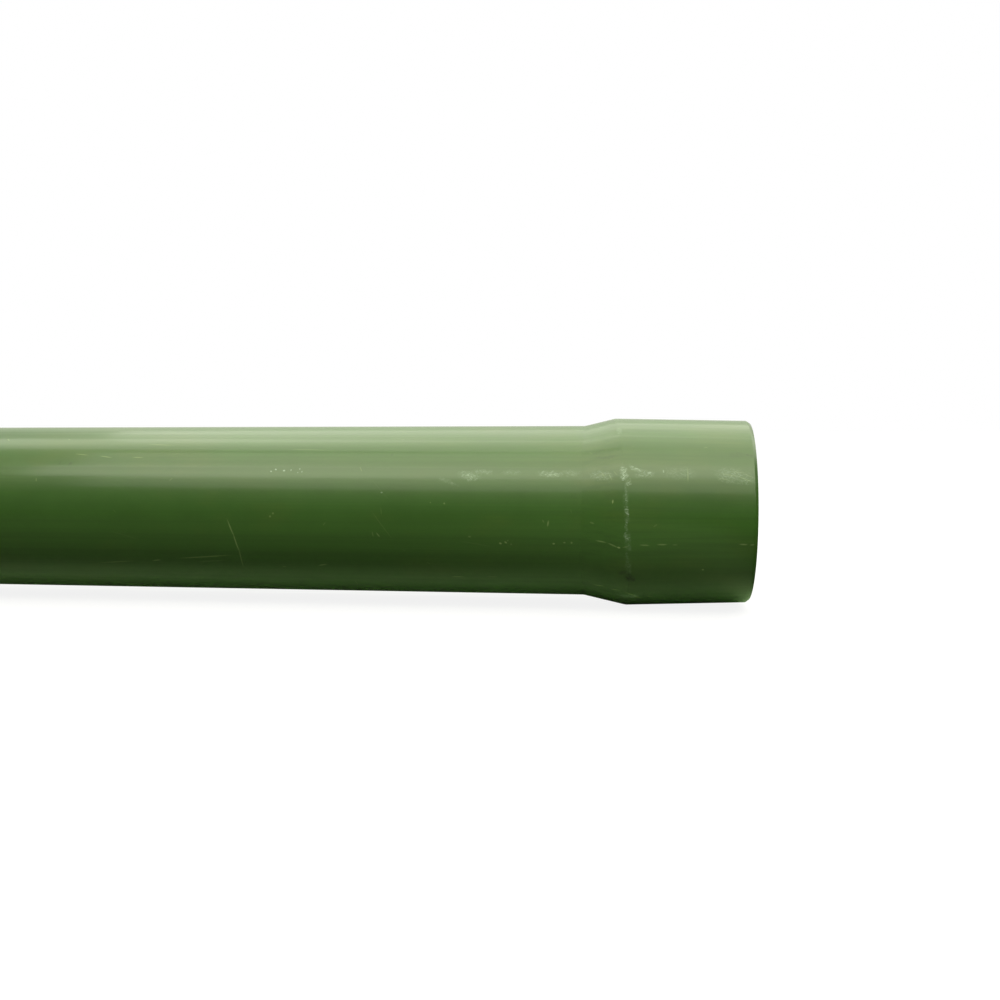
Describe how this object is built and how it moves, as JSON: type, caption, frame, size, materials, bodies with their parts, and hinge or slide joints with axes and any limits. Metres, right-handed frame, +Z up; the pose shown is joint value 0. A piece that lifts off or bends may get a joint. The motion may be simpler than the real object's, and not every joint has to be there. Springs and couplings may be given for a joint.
{
  "type": "pvc conduit pipe",
  "caption": "Straight rigid green PVC electrical conduit pipe with a belled socket end and a plain end.",
  "frame": {"origin": "on the floor below the middle of the pipe's length, at the bottom centre of its box", "axes": "+X runs along the pipe from the plain end to the mouth of the bell, +Y across it, +Z up"},
  "size_m": [3, 0.1266, 0.127],
  "materials": {
    "green_pvc": "semi-gloss, lightly scuffed"
  },
  "bodies": {
    "root": {"conduit_pipe": "green_pvc"}
  },
  "joints": []
}
